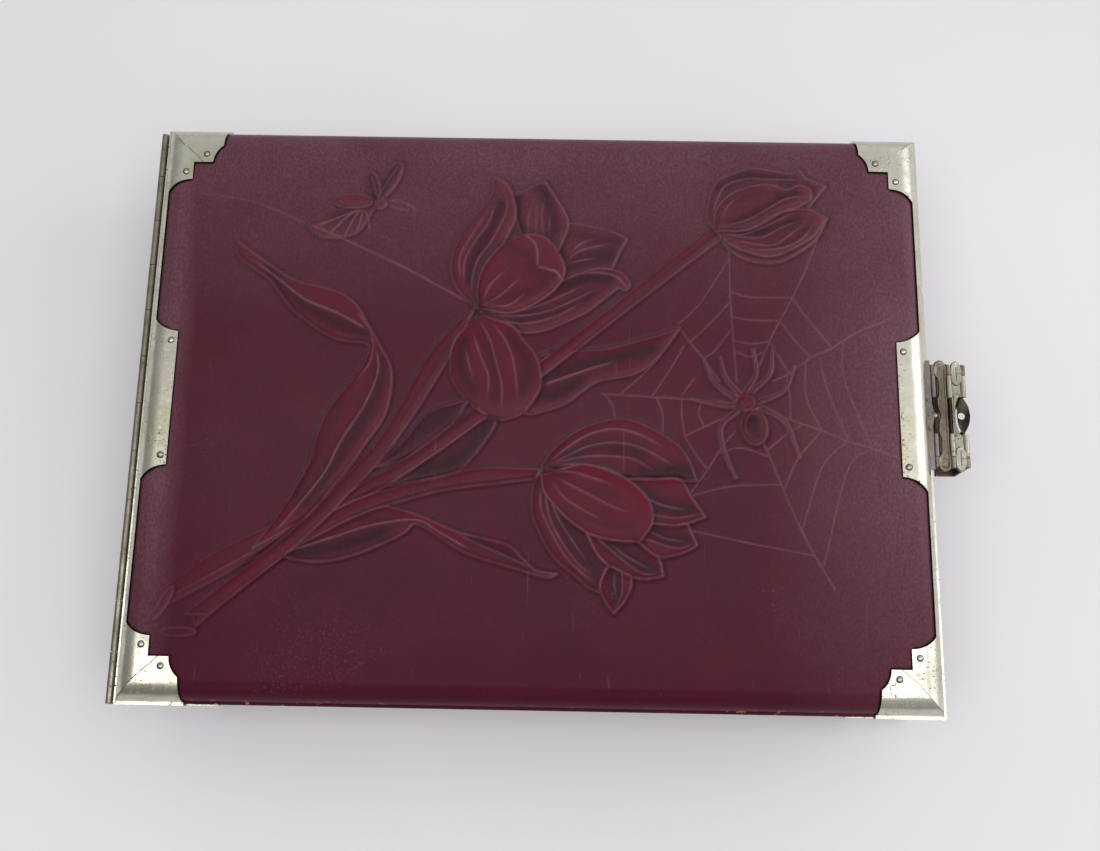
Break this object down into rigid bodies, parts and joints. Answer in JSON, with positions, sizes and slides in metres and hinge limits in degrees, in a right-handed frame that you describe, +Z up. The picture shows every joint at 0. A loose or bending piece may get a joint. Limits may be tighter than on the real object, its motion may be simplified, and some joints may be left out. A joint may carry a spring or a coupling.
{
  "type": "jewellery case",
  "caption": "Book-form padded leather jewellery case with stamped metal corner mounts, full-length hinge, jointed fore-edge clasp and a velvet-lined divided interior.",
  "frame": {"origin": "middle of the flat underside, on the surface the case lies on", "axes": "+Z up, +X from the hinge edge towards the clasp edge, +Y along the hinge towards the back long edge"},
  "size_m": [0.3084, 0.218, 0.0574],
  "materials": {
    "burgundy_leather": "smooth polished calf leather, tooled and padded, scuffed at the edges",
    "nickel_silver": "stamped sheet, worn plating with pits and yellow-green tarnish",
    "clasp_metal": "stamped sheet, brown tarnish inside",
    "dark_bronze": "darkened, slightly polished edge",
    "steel_wire": "drawn wire, dull",
    "case_board": "plain millboard and thin wood, covered",
    "wall_wood": "plain thin wood, covered with leather and velvet",
    "wadding": "cotton wadding under the leather",
    "quilted_satin": "quilted old-gold satin, soft sheen",
    "velvet": "short-pile crimson velvet"
  },
  "bodies": {
    "case": {"base_board": "case_board", "base_mount_left": "nickel_silver", "base_mount_right": "nickel_silver", "base_leather_cover": "burgundy_leather", "front_wall": "wall_wood", "back_wall": "wall_wood", "spine_wall": "wall_wood", "fore_edge_wall": "wall_wood", "wall_leather": "burgundy_leather", "floor_lining": "velvet", "wall_lining": "velvet", "ring_divider": "velvet", "long_divider": "velvet", "short_divider": "velvet", "ring_bed": "velvet", "necklace_pad": "velvet", "bracelet_pad": "velvet", "brooch_pad": "velvet", "ring_rolls": "velvet", "hinge_leaf_case": "nickel_silver", "hinge_pin": "steel_wire", "hinge_screws_case": "steel_wire", "keeper": "clasp_metal", "keeper_pins": "steel_wire"},
    "lid": {"lid_board": "case_board", "lid_padding": "wadding", "lid_leather_cover": "burgundy_leather", "lid_mount_left": "nickel_silver", "lid_mount_right": "nickel_silver", "lid_mount_rivets": "nickel_silver", "lid_lining_board": "case_board", "lid_satin_pad": "quilted_satin", "hinge_leaf_lid": "nickel_silver", "hinge_screws_lid": "steel_wire", "clasp_plate": "nickel_silver", "clasp_pin_first": "steel_wire", "clasp_knob": "nickel_silver"},
    "clasp_link": {"clasp_link": "clasp_metal", "clasp_pin_second": "steel_wire"},
    "clasp_strap": {"clasp_strap": "nickel_silver", "clasp_pin_third": "steel_wire"},
    "clasp_hasp": {"clasp_hasp": "clasp_metal", "clasp_thumb_tab": "dark_bronze"}
  },
  "joints": [
    {"name": "lid_hinge", "type": "hinge", "parent": "case", "child": "lid", "pos_m": [-0.1475, 0, 0.045], "axis": [0, -1, 0], "range_deg": [0, 186]},
    {"name": "clasp_link_hinge", "type": "hinge", "parent": "lid", "child": "clasp_link", "pos_m": [0.1473, 0, 0.0466], "axis": [0, 1, 0], "range_deg": [-60, 35]},
    {"name": "clasp_strap_hinge", "type": "hinge", "parent": "clasp_link", "child": "clasp_strap", "pos_m": [0.1532, 0, 0.0466], "axis": [0, 1, 0], "range_deg": [-45, 0]},
    {"name": "clasp_hasp_hinge", "type": "hinge", "parent": "clasp_strap", "child": "clasp_hasp", "pos_m": [0.1583, 0, 0.0466], "axis": [0, 1, 0], "range_deg": [-90, 0]}
  ]
}
